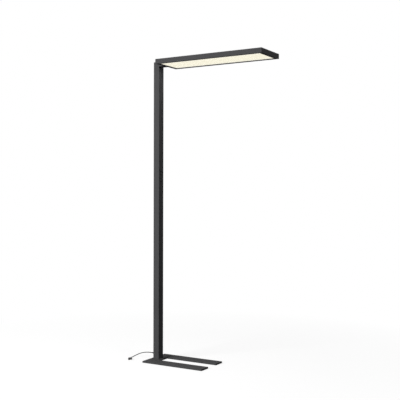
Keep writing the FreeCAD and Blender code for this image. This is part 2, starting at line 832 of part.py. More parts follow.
neck_plate_x = cavity_front - s.neck_plate_thickness
screw_plate(
    "neck_backplate",
    neck_plate_x,
    s.neck_plate_thickness,
    s.neck_plate_width,
    s.neck_plate_height,
    neck_middle,
    neck_spots,
)
screws(
    "neck_screws",
    neck_spots,
    "YZ_Plane",
    seat=neck_plate_x,
    head_form=hexagon,
    head_size=s.neck_head_radius,
    head_height=s.neck_head_height,
    shank_radius=s.neck_screw_radius,
    shank_length=s.neck_plate_thickness + s.post_wall + s.neck_screw_grip,
)
mount_plate_x = head_start + s.rail_wall
screw_plate(
    "head_backplate",
    mount_plate_x,
    s.mount_plate_thickness,
    s.mount_plate_width,
    s.mount_plate_height,
    bore_height,
    mount_spots,
)
screws(
    "head_screws",
    mount_spots,
    "YZ_Plane",
    seat=mount_plate_x + s.mount_plate_thickness,
    head_form=hexagon,
    head_size=s.neck_head_radius,
    head_height=s.neck_head_height,
    shank_radius=s.neck_screw_radius,
    shank_length=s.mount_plate_thickness + s.rail_wall + s.neck_screw_grip,
    away=-1,
)

# ---------------------------------------------------------------- lamp head

shelf_top = s.shelf_height + s.shelf_thickness
lip_top = s.head_height - s.cover_thickness
lip_bottom = lip_top - s.lip_thickness
wall_inner = s.rail_wall
lip_end = s.rail_wall + s.lip_reach
shelf_end = s.rail_wall + s.shelf_reach
cover_screw_line = s.rail_wall + s.lip_reach / 2


def head_rail(name, length, x, y, turn):
    """One side of the frame: wall, wide rim below, a shelf for the light's parts and a lip for the cover.

    Its own X runs along the outer lower edge and its own Y points into the head. Both ends are mitred.
    """
    rail = new_body(name, x, y, head_bottom, turn)
    profile = sketch_on(rail, "YZ_Plane")
    polygon(
        profile,
        [
            (nothing, nothing),
            (s.rim_width - s.rim_bevel, nothing),
            (s.rim_width, s.rim_bevel),
            (s.rim_width, s.rim_thickness),
            (wall_inner, s.rim_thickness),
            (wall_inner, s.shelf_height),
            (shelf_end, s.shelf_height),
            (shelf_end, shelf_top),
            (wall_inner, shelf_top),
            (wall_inner, lip_bottom),
            (lip_end, lip_bottom),
            (lip_end, lip_top),
            (wall_inner, lip_top),
            (wall_inner, s.head_height),
            (nothing, s.head_height),
        ],
    )
    pad(rail, profile, length)
    mitres = sketch_on(rail, "XY_Plane")
    past = s.rail_wall
    deep = s.rim_width + past
    polygon(mitres, [(-past, -past), (deep, deep), (-past, deep)])
    polygon(mitres, [(length + past, -past), (length + past, deep), (length - deep, deep)])
    pocket(rail, mitres, s.head_height, forward=True)
    return rail


cover_spots = []
for rail_name, rail_x, rail_y, rail_turn, side in (
    ("near_rail", head_start, -head_side, 0, -1),
    ("far_rail", head_end, head_side, 180, 1),
):
    long_rail = head_rail(rail_name, s.head_length, rail_x, rail_y, rail_turn)
    lip_holes = sketch_on(long_rail, "XY_Plane", lip_bottom)
    for along in (s.cover_screw_inset, s.head_length - s.cover_screw_inset):
        circle(lip_holes, along, cover_screw_line, s.cover_screw_radius + s.thread_gap)
        cover_spots.append((head_start + along, (head_side - cover_screw_line) * side))
    pocket(long_rail, lip_holes, s.lip_thickness, forward=True)
head_rail("free_end_rail", s.head_width, head_end, -head_side, 90)
post_end = head_rail("post_end_rail", s.head_width, head_start, head_side, 270)
wall_holes = sketch_on(post_end, "XZ_Plane")
for across, level in mount_spots:
    circle(wall_holes, head_side - across, level - head_bottom, s.neck_screw_radius + s.fit_gap)
circle(wall_holes, head_side, s.neck_bore_height, s.neck_bore_radius)
pocket(post_end, wall_holes, s.rail_wall)


def head_sheet(name, inset, low, thickness):
    """A flat sheet inside the frame, inset from the frame's outer faces."""
    body = new_body(name, head_start, nothing, head_bottom + low)
    outline = sketch_on(body, "XY_Plane")
    rectangle(outline, inset, inset - head_side, s.head_length - inset, head_side - inset)
    pad(body, outline, thickness)
    return body


# From below: the opal diffuser lies on the rim, the light guide, the reflector and a foam pad lie on it, and
# the back plate on the shelf presses them down.
sheet_inset = wall_inner + s.sheet_gap
guide_inset = wall_inner + s.strip_thickness + s.strip_gap
diffuser_top = s.rim_thickness + s.diffuser_thickness
guide_top = diffuser_top + s.guide_thickness
reflector_top = guide_top + s.reflector_thickness
back_plate_top = shelf_top + s.back_plate_thickness
head_sheet("diffuser", sheet_inset, s.rim_thickness, s.diffuser_thickness)
head_sheet("light_guide", guide_inset, diffuser_top, s.guide_thickness)
head_sheet("reflector_sheet", guide_inset, guide_top, s.reflector_thickness)
head_sheet("foam_pad", shelf_end + s.sheet_gap, reflector_top, shelf_top - reflector_top)
head_sheet("back_plate", sheet_inset, shelf_top, s.back_plate_thickness)

strips = new_body("led_strips", head_start, nothing, head_bottom + diffuser_top, several=True)
strip_ends = sketch_on(strips, "XY_Plane")
strip_outer = head_side - wall_inner
strip_inner = strip_outer - s.strip_thickness
for low, high in ((-strip_outer, -strip_inner), (strip_inner, strip_outer)):
    rectangle(strip_ends, s.rim_width, low, s.head_length - s.rim_width, high)
pad(strips, strip_ends, s.shelf_height - diffuser_top - s.sheet_gap)

# Angle keys join the mitres above the back plate.
keys = new_body("corner_keys", head_start, nothing, head_bottom + back_plate_top, several=True)
angles = sketch_on(keys, "XY_Plane")
near = wall_inner
far = wall_inner + s.key_thickness
leg = wall_inner + s.key_leg
for mirror_x, mirror_y in ((False, False), (True, False), (False, True), (True, True)):
    corners = []
    for along, across in ((near, near), (leg, near), (leg, far), (far, far), (far, leg), (near, leg)):
        corner_x = s.head_length - along if mirror_x else along
        corner_y = head_side - across if mirror_y else across - head_side
        corners.append((corner_x, corner_y))
    polygon(angles, corners)
pad(keys, angles, s.key_height)

terminals_x = head_start + s.rim_width + s.rail_wall
head_terminal = new_body("head_terminal_block", terminals_x, nothing, head_bottom + back_plate_top)
block = sketch_on(head_terminal, "XY_Plane")
half = s.head_terminal_width / 2
rectangle(block, nothing, -half, s.head_terminal_length, half)
pad(head_terminal, block, s.head_terminal_height)
clamp_ports = sketch_on(head_terminal, "XY_Plane", s.head_terminal_height)
port_middle = s.head_terminal_length / 2
low_side = port_middle - port_half
high_side = port_middle + port_half
for step in (-1, 0, 1):
    middle = s.head_terminal_pitch * step
    rectangle(clamp_ports, low_side, middle - port_half, high_side, middle + port_half)
pocket(head_terminal, clamp_ports, s.head_terminal_height / 2)

# Uplight: a board on the back plate shines through an opal window in the top cover.
head_middle = head_start + s.head_length / 2
uplight_board = new_body("uplight_board", head_middle, nothing, head_bottom + back_plate_top)
board_shape = sketch_on(uplight_board, "XY_Plane")
half_length = s.uplight_board_length / 2
half_width = s.uplight_board_width / 2
rectangle(board_shape, -half_length, -half_width, half_length, half_width)
pad(uplight_board, board_shape, s.uplight_board_thickness)

window_x = s.window_length / 2
window_y = s.window_width / 2
uplight = new_body("uplight_diffuser", head_middle, nothing, head_bottom + lip_top)
window_flange = sketch_on(uplight, "XY_Plane")
reach_x = window_x + s.uplight_flange
reach_y = window_y + s.uplight_flange
rectangle(window_flange, -reach_x, -reach_y, reach_x, reach_y)
pad(uplight, window_flange, s.uplight_flange_thickness, backward=True)
window_pane = sketch_on(uplight, "XY_Plane")
pane_x = window_x - s.sheet_gap
pane_y = window_y - s.sheet_gap
rectangle(window_pane, -pane_x, -pane_y, pane_x, pane_y)
pad(uplight, window_pane, s.uplight_rise)

cover = head_sheet("top_cover", sheet_inset, lip_top, s.cover_thickness)
window = sketch_on(cover, "XY_Plane")
window_middle = s.head_length / 2
rectangle(window, window_middle - window_x, -window_y, window_middle + window_x, window_y)
pocket(cover, window, s.cover_thickness, forward=True)
cover_holes = sketch_on(cover, "XY_Plane")
cover_recesses = sketch_on(cover, "XY_Plane", s.cover_thickness)
for spot_x, spot_y in cover_spots:
    circle(cover_holes, spot_x - head_start, spot_y, s.cover_screw_radius + s.fit_gap)
    circle(cover_recesses, spot_x - head_start, spot_y, s.cover_head_radius + s.fit_gap)
pocket(cover, cover_holes, s.cover_thickness, forward=True)
pocket(cover, cover_recesses, s.cover_head_height)
cover_seat = s.lamp_height - s.cover_head_height
screws(
    "cover_screws",
    cover_spots,
    "XY_Plane",
    seat=cover_seat,
    head_form=circle,
    head_size=s.cover_head_radius,
    head_height=s.cover_head_height,
    shank_radius=s.cover_screw_radius,
    shank_length=s.cover_screw_length,
    away=-1,
)

# ---------------------------------------------------------------- cables inside

relief_tip = post_back - s.relief_length
# The lead's tail runs through the strain relief, turns up behind the clamp and ends in the terminals.
tail_start = point(relief_tip, 0, s.cord_height)
tail_corner = point(tail_x, 0, s.cord_height)
tail_end = point(tail_x, 0, s.terminal_height)
tube("lead_tail", bent_route(tail_start, tail_corner, tail_end, s.tail_bend.number), s.cord_radius)

# The lamp cable climbs from the driver through the post, turns into the neck and ends at the head's
# terminals.
cable_x = bracket_face + s.driver_depth / 2
cable_start = point(cable_x, 0, driver_high)
cable_corner = point(cable_x, 0, bore_height)
cable_end = point(terminals_x, 0, bore_height)
tube("post_cable", bent_route(cable_start, cable_corner, cable_end, s.cable_bend.number), s.cable_radius)

# The control cable leaves the driver's upper end and steps forward to the board's lower edge.
control_y = s.control_cable_side
control_x = bracket_face + s.driver_depth - s.cord_radius
control_front = carrier_front + s.control_cable_radius + s.thread_gap
step_high = board_low - s.control_cable_step
step_low = step_high - s.control_cable_step
control_points = [
    point(control_x, control_y, driver_high),
    point(control_x, control_y, step_low),
    point(control_front, control_y, step_high),
    point(control_front, control_y, board_low),
]
control_path, control_radii = tube_route(control_points)
tube("control_cable", control_path, s.control_cable_radius)

# ---------------------------------------------------------------- strain relief, mains lead and plug

# The strain relief is moulded rubber: a collar outside the wall, a neck through it, a snap ring inside and
# a tapered sleeve with bending grooves.
relief = new_body("strain_relief", x=post_back, z=s.cord_height)
relief_half = sketch_on(relief, "XZ_Plane")
bore = s.cord_radius + s.thread_gap
collar = -s.relief_collar_thickness
inside = s.post_wall + s.slide_gap
snap = inside + s.relief_collar_thickness
groove_count = 2
relief_outline = [
    (-s.relief_length, bore),
    (-s.relief_length, s.relief_tip_radius),
]
sleeve_run = s.relief_length - s.relief_collar_thickness
groove_pitch = sleeve_run / (2 * groove_count + 1)
for groove in range(groove_count):
    for part, sunk in ((1, False), (1, True), (2, True), (2, False)):
        along = -s.relief_length + groove_pitch * (2 * groove + part)
        share = (2 * groove + part) / (2 * groove_count + 1)
        radius = s.relief_tip_radius + (s.relief_root_radius - s.relief_tip_radius) * share
        relief_outline.append((along, radius - s.relief_groove if sunk else radius))
relief_outline += [
    (collar, s.relief_root_radius),
    (collar, s.relief_collar_radius),
    (nothing, s.relief_collar_radius),
    (nothing, s.relief_neck_radius),
    (inside, s.relief_neck_radius),
    (inside, s.relief_neck_radius + s.relief_groove),
    (snap, s.relief_neck_radius - s.relief_groove),
    (snap, bore),
]
polygon(relief_half, relief_outline)
revolve(relief, relief_half, "H_Axis")

# The lead droops from the strain relief to the floor and turns towards the near side, on points chosen by
# hand.
lead_points = [
    tail_start,
    tail_start + FreeCAD.Vector(-22.0, 0, 0),
    FreeCAD.Vector(-98.0, 0.5, 37.2),
    FreeCAD.Vector(-124.0, 1.0, 31.8),
    FreeCAD.Vector(-147.0, 1.6, 24.4),
    FreeCAD.Vector(-165.5, -0.8, 15.6),
    FreeCAD.Vector(-178.0, -9.5, 8.2),
    FreeCAD.Vector(-184.0, -23.0, 3.8),
    FreeCAD.Vector(-183.5, -38.0, 2.7),
    FreeCAD.Vector(-179.0, -53.0, 3.8),
]
plug_heading = math.radians(-63.0)
plug_way = FreeCAD.Vector(math.cos(plug_heading), math.sin(plug_heading), 0)
plug_point = FreeCAD.Vector(-164.8, -79.0, s.plug_thickness.number / 2)
lead_points += [plug_point - plug_way * 13.0, plug_point]
lead_path, lead_radii = tube_route(lead_points)
print("mains_lead radii", [round(radius, 1) for radius in lead_radii])
tube("mains_lead", lead_path, s.cord_radius)

# A small flat two-pin plug, lying on its broad side.
plug = new_body("plug_body", plug_point.x, plug_point.y, s.plug_thickness / 2, math.degrees(plug_heading))
sleeve = sketch_on(plug, "XZ_Plane")
polygon(
    sleeve,
    [
        (nothing, nothing),
        (nothing, s.sleeve_tip_radius),
        (s.sleeve_length, s.sleeve_root_radius),
        (s.sleeve_length + s.plug_edge * 2, s.sleeve_root_radius),
        (s.sleeve_length + s.plug_edge * 2, nothing),
    ],
)
revolve(plug, sleeve, "H_Axis")
plug_shape = sketch_on(plug, "XY_Plane", -s.plug_thickness / 2)
shoulder = s.sleeve_length + s.plug_length / 2
plug_end = s.sleeve_length + s.plug_length
polygon(
    plug_shape,
    [
        (s.sleeve_length, -s.plug_neck_width / 2),
        (shoulder, -s.plug_width / 2),
        (plug_end, -s.plug_width / 2),
        (plug_end, s.plug_width / 2),
        (shoulder, s.plug_width / 2),
        (s.sleeve_length, s.plug_neck_width / 2),
    ],
)
pad(plug, plug_shape, s.plug_thickness)
dress(plug, "Fillet", s.plug_edge, lies_at("Z", s.plug_thickness / 2))

plug_turn = math.degrees(plug_heading)
pins = new_body("plug_pins", plug_point.x, plug_point.y, s.plug_thickness / 2, plug_turn, several=True)
pin_ends = sketch_on(pins, "YZ_Plane", plug_end)
for side in (1, -1):
    circle(pin_ends, s.pin_spacing / 2 * side, nothing, s.pin_radius)
pad(pins, pin_ends, s.pin_length)

# ---------------------------------------------------------------- checks and export

doc.recompute()
for item in doc.Objects:
    if {"Invalid", "Error"} & set(item.State):
        raise RuntimeError(f"{item.Name} failed: {item.State}")
for node in NODES:
    if node.Shape.isNull() or not node.Shape.isValid() or not node.Shape.Solids:
        raise RuntimeError(f"{node.Label} has no sound shape")

os.makedirs("parts", exist_ok=True)
for node in NODES:
    node.Shape.exportStep(f"parts/{node.Label}.step")
print(f"{len(NODES)} nodes, {sum(len(node.Shape.Solids) for node in NODES)} solids")
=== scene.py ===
import math

import bpy
from mathutils import Matrix, Vector


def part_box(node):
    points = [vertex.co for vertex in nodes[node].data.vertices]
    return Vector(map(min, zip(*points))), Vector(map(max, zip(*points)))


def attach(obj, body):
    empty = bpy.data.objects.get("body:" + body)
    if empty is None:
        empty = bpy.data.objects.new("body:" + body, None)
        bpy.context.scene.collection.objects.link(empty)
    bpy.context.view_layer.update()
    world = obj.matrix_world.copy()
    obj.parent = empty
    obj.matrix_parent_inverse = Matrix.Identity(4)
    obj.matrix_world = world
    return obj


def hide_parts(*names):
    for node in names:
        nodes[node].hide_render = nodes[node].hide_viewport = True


# Office floor lamp: a U-shaped base plate, an extruded post with four push buttons, a short neck and a
# long flat head that is held at one end. The sections follow the lamp as it is put together, from the
# base plate up to the head's top cover, and after them come the floor, the lights and the camera.
# Lengths are in metres.

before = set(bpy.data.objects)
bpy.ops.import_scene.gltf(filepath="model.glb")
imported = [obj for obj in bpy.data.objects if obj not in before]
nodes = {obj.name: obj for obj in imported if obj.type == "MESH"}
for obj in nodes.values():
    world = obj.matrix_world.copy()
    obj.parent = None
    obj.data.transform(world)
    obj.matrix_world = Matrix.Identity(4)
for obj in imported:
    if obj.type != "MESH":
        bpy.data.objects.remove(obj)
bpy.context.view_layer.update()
bpy.ops.object.select_all(action="DESELECT")


# ---------------------------------------------------------------- base plate
# A 10 mm steel plate, cut to a U that goes round a desk leg, with its upper edges broken. It is sprayed
# with a fine-texture anthracite powder and baked, which leaves it matt and pebbled, thin on the edges
# and quick to hold dust.


def add(tree, kind, inputs=None, **options):
    """Adds a shader node, sets its options, and fills its inputs with values or links them to sockets."""
    node = tree.nodes.new(f"ShaderNode{kind}")
    for option, value in options.items():
        setattr(node, option, value)
    for socket, value in (inputs or {}).items():
        if isinstance(value, bpy.types.NodeSocket):
            tree.links.new(value, node.inputs[socket])
        else:
            node.inputs[socket].default_value = value
    return node


def maths(tree, operation, first, second=0.0):
    return add(tree, "Math", {0: first, 1: second}, operation=operation).outputs[0]


def spread(tree, value, low, high, to_low=0.0, to_high=1.0):
    """Maps the range low to high onto another one, and stops at its ends."""
    limits = {"From Min": low, "From Max": high, "To Min": to_low, "To Max": to_high}
    return add(tree, "MapRange", {"Value": value, **limits}).outputs["Result"]


def mixed(tree, share, first, second):
    """The first colour where share is 0, and the second where it is 1."""
    node = add(tree, "Mix", {0: share}, data_type="RGBA")
    for socket, colour in ((node.inputs[6], first), (node.inputs[7], second)):
        if isinstance(colour, bpy.types.NodeSocket):
            tree.links.new(colour, socket)
        else:
            socket.default_value = colour
    return node.outputs[2]


def noise(tree, vector, scale, detail=2.0):
    return add(tree, "TexNoise", {"Vector": vector, "Scale": scale, "Detail": detail}).outputs["Fac"]


def new_group(name, inputs, outputs):
    """A node group with named sockets, its inputs' sockets to read and its outputs' sockets to fill."""
    group = bpy.data.node_groups.new(name, "ShaderNodeTree")
    for label, (kind, value) in inputs.items():
        socket = group.interface.new_socket(label, in_out="INPUT", socket_type=f"NodeSocket{kind}")
        socket.default_value = value
    for label, kind in outputs.items():
        group.interface.new_socket(label, in_out="OUTPUT", socket_type=f"NodeSocket{kind}")
    return group, group.nodes.new("NodeGroupInput").outputs, group.nodes.new("NodeGroupOutput").inputs


def new_material(name, values):
    """A material whose even values are set on its Principled shader's own sockets."""
    material = bpy.data.materials.new(name)
    material.use_nodes = True
    shader = material.node_tree.nodes["Principled BSDF"]
    for socket, value in values.items():
        shader.inputs[socket].default_value = value
    return material, material.node_tree, shader.inputs


def finish_nodes(material, *names):
    for name in names:
        for place in nodes[name].material_slots:
            place.material = material


def grey(value):
    return (value, value, value * 1.03, 1.0)


# Rounds every edge a little for the light, and says where a surface turns over an edge and has rubbed
# thin.
worn_edges, start, end = new_group(
    "worn_edges",
    {"Reach": ("Float", 0.0006), "Amount": ("Float", 0.3)},
    {"Mask": "Float", "Normal": "Vector"},
)
rounded = add(worn_edges, "Bevel", {"Radius": start["Reach"]}, samples=4).outputs["Normal"]
flat = add(worn_edges, "NewGeometry").outputs["Normal"]
facing = add(worn_edges, "VectorMath", {0: rounded, 1: flat}, operation="DOT_PRODUCT").outputs["Value"]
turned = spread(worn_edges, facing, 0.995, 0.85)
where = add(worn_edges, "TexCoord").outputs["Object"]
rubbed = spread(worn_edges, noise(worn_edges, where, 55.0, 4.0), 0.42, 0.62)
strength = maths(worn_edges, "MULTIPLY", rubbed, start["Amount"])
worn_edges.links.new(maths(worn_edges, "MULTIPLY", turned, strength), end["Mask"])
worn_edges.links.new(rounded, end["Normal"])

# A pale film on what faces up, in faint drifts with single specks: partly dust, partly painted light from
# above.
dust_and_top_light, start, end = new_group(
    "dust_and_top_light", {"Amount": ("Float", 0.2), "Drift": ("Float", 9.0)}, {"Mask": "Float"}
)
surface = add(dust_and_top_light, "NewGeometry").outputs["Normal"]
upward = add(dust_and_top_light, "SeparateXYZ", {0: surface}).outputs["Z"]
lying = spread(dust_and_top_light, upward, 0.75, 0.98)
where = add(dust_and_top_light, "TexCoord").outputs["Object"]
drifts = spread(dust_and_top_light, noise(dust_and_top_light, where, start["Drift"], 5.0), 0.35, 0.7, 0.25, 1.0)
specks = spread(dust_and_top_light, noise(dust_and_top_light, where, 900.0), 0.62, 0.74, 0.55, 1.0)
dust_and_light_film = maths(dust_and_top_light, "MULTIPLY", drifts, specks)
amount = maths(dust_and_top_light, "MULTIPLY", dust_and_light_film, start["Amount"])
dust_and_top_light.links.new(maths(dust_and_top_light, "MULTIPLY", lying, amount), end["Mask"])

# The pebbled skin of a baked powder: small round bumps, a slight speckle, and a cloudiness over the
# whole sheet.
powder_skin, start, end = new_group(
    "powder_skin",
    {
        "Colour": ("Color", grey(0.07)),
        "Pebble": ("Float", 0.0007),
        "Depth": ("Float", 0.00003),
        "Roughness": ("Float", 0.8),
        "Normal": ("Vector", (0.0, 0.0, 0.0)),
    },
    {"Colour": "Color", "Roughness": "Float", "Normal": "Vector"},
)
where = add(powder_skin, "TexCoord").outputs["Object"]
pebbles = noise(powder_skin, where, maths(powder_skin, "DIVIDE", 1.0, start["Pebble"]), 3.0)
clouds = spread(powder_skin, noise(powder_skin, where, 4.0, 3.0), 0.3, 0.7, 0.95, 1.05)
speckle = spread(powder_skin, pebbles, 0.3, 0.7, 0.86, 1.14)
shade = maths(powder_skin, "MULTIPLY", clouds, speckle)
toned = add(powder_skin, "VectorMath", {0: start["Colour"], "Scale": shade}, operation="SCALE").outputs[0]
powder_skin.links.new(toned, end["Colour"])
uneven = spread(powder_skin, pebbles, 0.3, 0.7, -0.06, 0.06)
powder_skin.links.new(maths(powder_skin, "ADD", start["Roughness"], uneven), end["Roughness"])
bumps = add(
    powder_skin,
    "Bump",
    {"Height": pebbles, "Distance": start["Depth"], "Strength": 1.0, "Normal": start["Normal"]},
)
powder_skin.links.new(bumps.outputs["Normal"], end["Normal"])


def powder_coat(name, wear, top_dust_and_light):
    """Anthracite powder coat, rubbed lighter on its edges, greyed where it faces up by dust and painted top
    light.
    """
    material, tree, shader = new_material(name, {"Specular IOR Level": 0.01, "Metallic": 0.0})
    edge = add(tree, "Group", {"Reach": 0.0006, "Amount": wear}, node_tree=worn_edges).outputs
    dust_and_light_film = add(tree, "Group", {"Amount": top_dust_and_light, "Drift": 7.0}, node_tree=dust_and_top_light).outputs["Mask"]
    anthracite = grey(0.072)
    values = {"Colour": anthracite, "Normal": edge["Normal"]}
    skin = add(tree, "Group", values, node_tree=powder_skin).outputs
    thin = mixed(tree, edge["Mask"], skin["Colour"], grey(0.26))
    # Faces that point up turn paler grey: partly dust, partly painted light from above.
    dusty_and_lit = mixed(tree, dust_and_light_film, thin, (0.3, 0.29, 0.27, 1.0))
    tree.links.new(dusty_and_lit, shader["Base Color"])
    tree.links.new(skin["Roughness"], shader["Roughness"])
    tree.links.new(skin["Normal"], shader["Normal"])
    return material


# The plate's upward faces are greyed partly by dust and partly by painted light from above.
coated_steel = powder_coat("coated_steel", wear=0.45, top_dust_and_light=0.05)
finish_nodes(coated_steel, "base_plate")

# ---------------------------------------------------------------- glide pads
# Seven rubber pads are glued into shallow recesses under the plate and hold it just clear of the floor.
# They are matt and a little chalky.

moulded_grain, start, end = new_group(
    "moulded_grain",
    {
        "Colour": ("Color", grey(0.03)),
        "Grain": ("Float", 0.0002),
        "Depth": ("Float", 0.00001),
        "Roughness": ("Float", 0.5),
        "Mottle": ("Float", 0.1),
    },
    {"Colour": "Color", "Roughness": "Float", "Normal": "Vector"},
)
where = add(moulded_grain, "TexCoord").outputs["Object"]
sparks = noise(moulded_grain, where, maths(moulded_grain, "DIVIDE", 1.0, start["Grain"]), 2.0)
flow = spread(moulded_grain, noise(moulded_grain, where, 40.0, 3.0), 0.3, 0.7, -1.0, 1.0)
shade = maths(moulded_grain, "ADD", 1.0, maths(moulded_grain, "MULTIPLY", flow, start["Mottle"]))
toned = add(moulded_grain, "VectorMath", {0: start["Colour"], "Scale": shade}, operation="SCALE").outputs[0]
moulded_grain.links.new(toned, end["Colour"])
uneven = spread(moulded_grain, sparks, 0.3, 0.7, -0.08, 0.08)
moulded_grain.links.new(maths(moulded_grain, "ADD", start["Roughness"], uneven), end["Roughness"])
softened = add(moulded_grain, "Bevel", {"Radius": 0.0004}, samples=4).outputs["Normal"]
bumps = add(
    moulded_grain,
    "Bump",
    {"Height": sparks, "Distance": start["Depth"], "Strength": 1.0, "Normal": softened},
)
moulded_grain.links.new(bumps.outputs["Normal"], end["Normal"])


def moulded(name, colour, roughness, grain, depth, shine=0.5, mottle=0.06):
    """Plastic or rubber from a mould with a fine eroded grain."""
    material, tree, shader = new_material(name, {"Specular IOR Level": shine})
    values = {"Colour": colour, "Grain": grain, "Depth": depth, "Roughness": roughness, "Mottle": mottle}
    skin = add(tree, "Group", values, node_tree=moulded_grain).outputs
    tree.links.new(skin["Colour"], shader["Base Color"])
    tree.links.new(skin["Roughness"], shader["Roughness"])
    tree.links.new(skin["Normal"], shader["Normal"])
    return material


pad_rubber = moulded("pad_rubber", grey(0.022), 0.82, 0.0005, 0.00004, shine=0.3, mottle=0.2)
finish_nodes(pad_rubber, "base_pads")

# ---------------------------------------------------------------- base screws
# Four zinc-plated socket screws hold the post on the plate from below, their heads sunk in counterbores.
# Each is turned from bar, with a hexagon socket pressed into a head that has a small chamfer.

metal_grain, start, end = new_group(
    "metal_grain",
    {
        "Colour": ("Color", grey(0.5)),
        "Stretch": ("Vector", (40.0, 40.0, 1.0)),
        "Fineness": ("Float", 60.0),
        "Depth": ("Float", 0.000004),
        "Roughness": ("Float", 0.35),
    },
    {"Colour": "Color", "Roughness": "Float", "Normal": "Vector"},
)
where = add(metal_grain, "TexCoord").outputs["Object"]
along = add(metal_grain, "VectorMath", {0: where, 1: start["Stretch"]}, operation="MULTIPLY").outputs[0]
lines = noise(metal_grain, along, start["Fineness"], 5.0)
shade = spread(metal_grain, lines, 0.3, 0.7, 0.88, 1.12)
toned = add(metal_grain, "VectorMath", {0: start["Colour"], "Scale": shade}, operation="SCALE").outputs[0]
metal_grain.links.new(toned, end["Colour"])
uneven = spread(metal_grain, lines, 0.3, 0.7, -0.09, 0.09)
metal_grain.links.new(maths(metal_grain, "ADD", start["Roughness"], uneven), end["Roughness"])
softened = add(metal_grain, "Bevel", {"Radius": 0.0002}, samples=4).outputs["Normal"]
bumps = add(
    metal_grain,
    "Bump",
    {"Height": lines, "Distance": start["Depth"], "Strength": 1.0, "Normal": softened},
)
metal_grain.links.new(bumps.outputs["Normal"], end["Normal"])


def bare_metal(name, colour, roughness, stretch, fineness, depth=0.000004):
    """Metal with the lines that rolling, drawing or turning left in it, fine along the stretched axes."""
    material, tree, shader = new_material(name, {"Metallic": 1.0})
    lines = {"Stretch": stretch, "Fineness": fineness, "Depth": depth}
    values = {"Colour": colour, "Roughness": roughness, **lines}
    skin = add(tree, "Group", values, node_tree=metal_grain).outputs
    tree.links.new(skin["Colour"], shader["Base Color"])
    tree.links.new(skin["Roughness"], shader["Roughness"])
    tree.links.new(skin["Normal"], shader["Normal"])
    return material


def pick(mesh, faces=None, edges=None):
    """Selects, in edit mode, the faces or edges for which a test holds."""
    bpy.ops.object.mode_set(mode="OBJECT")
    for part in (*mesh.vertices, *mesh.edges, *mesh.polygons):
        part.select = False
    for face in mesh.polygons:
        face.select = faces is not None and faces(face)
    for edge in mesh.edges:
        if edges is not None and edges(*(mesh.vertices[i].co for i in edge.vertices)):
            edge.select = True
    bpy.ops.object.mode_set(mode="EDIT")


def socket_screw(name, head_radius, head_height, shank_radius, shank_length):
    """A socket screw with its seat at the origin, its head below and its shank up along Z."""
    rim = head_radius * 0.1
    socket_radius = head_radius * 0.6
    bpy.ops.object.select_all(action="DESELECT")
    bpy.ops.mesh.primitive_cylinder_add(
        vertices=32, radius=head_radius, depth=head_height, location=(0, 0, -head_height / 2)
    )
    screw = bpy.context.object
    screw.name = name
    bpy.ops.object.transform_apply(location=True, rotation=True, scale=True)
    bpy.ops.object.mode_set(mode="EDIT")
    bpy.ops.mesh.select_mode(type="EDGE")
    pick(screw.data, edges=lambda a, b: max(a.z, b.z) < -head_height * 0.9)
    bpy.ops.mesh.bevel(offset=rim, segments=2, affect="EDGES")
    bpy.ops.mesh.select_mode(type="FACE")
    pick(screw.data, faces=lambda face: face.normal.z > 0.9)
    bpy.ops.mesh.inset(thickness=head_radius - shank_radius)
    bpy.ops.mesh.extrude_region_move(TRANSFORM_OT_translate={"value": (0, 0, shank_length - rim)})
    bpy.ops.mesh.extrude_region_move(TRANSFORM_OT_translate={"value": (0, 0, rim)})
    bpy.ops.transform.resize(value=(0.8, 0.8, 1.0), center_override=(0, 0, shank_length))
    bpy.ops.object.mode_set(mode="OBJECT")
    bpy.ops.mesh.primitive_cylinder_add(
        vertices=6, radius=socket_radius, depth=head_height, location=(0, 0, -head_height)
    )
    key = bpy.context.object
    bpy.context.view_layer.objects.active = screw
    cut = screw.modifiers.new("hexagon", "BOOLEAN")
    cut.object = key
    cut.solver = "EXACT"
    bpy.ops.object.modifier_apply(modifier="hexagon")
    bpy.data.objects.remove(key)
    bpy.ops.object.select_all(action="DESELECT")
    screw.select_set(True)
    bpy.ops.object.shade_smooth_by_angle(angle=math.radians(35))
    return screw


def set_out(piece, body, material, node, places):
    """Puts a copy of a modelled piece, each with its own mesh, at every place, and removes the first."""
    for number, place in enumerate(places, start=1):
        copy = piece.copy()
        copy.data = piece.data.copy()
        copy.name = f"{piece.name}_{number}"
        copy.data.transform(place)
        copy.data.materials.clear()
        copy.data.materials.append(material)
        bpy.context.collection.objects.link(copy)
        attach(copy, body)
        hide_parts(node)
    bpy.data.objects.remove(piece)


screw_steel = bare_metal("screw_steel", (0.46, 0.46, 0.47, 1.0), 0.34, (6.0, 6.0, 40.0), 90.0)
low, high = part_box("base_screws")
foot_head_radius = 0.004
foot_head_height = 0.0032
foot_screw = socket_screw(
    "base_screw",
    foot_head_radius,
    foot_head_height,
    shank_radius=0.00205,
    shank_length=high.z - low.z - foot_head_height,
)
foot_places = []
for x in (low.x + foot_head_radius, high.x - foot_head_radius):
    for y in (low.y + foot_head_radius, high.y - foot_head_radius):
        foot_places.append(Matrix.Translation((x, y, low.z + foot_head_height)))
set_out(foot_screw, "lamp", screw_steel, "base_screws", foot_places)

# ---------------------------------------------------------------- post
# One aluminium extrusion with a screw port in each corner, powder coated as the base is, and a pressed
# cap that closes its top. Hands take hold of it at the buttons' height, so its edges are rubbed less
# than the base's.

coated_aluminium = powder_coat("coated_aluminium", wear=0.28, top_dust_and_light=0.1)
finish_nodes(coated_aluminium, "post_profile", "post_cap")

# ---------------------------------------------------------------- push buttons
# Four slim black keys in slots in the post's front face. Each is moulded in one with the flange behind
# the wall and has a softly grained face. The slight polish that fingers give it is not drawn.

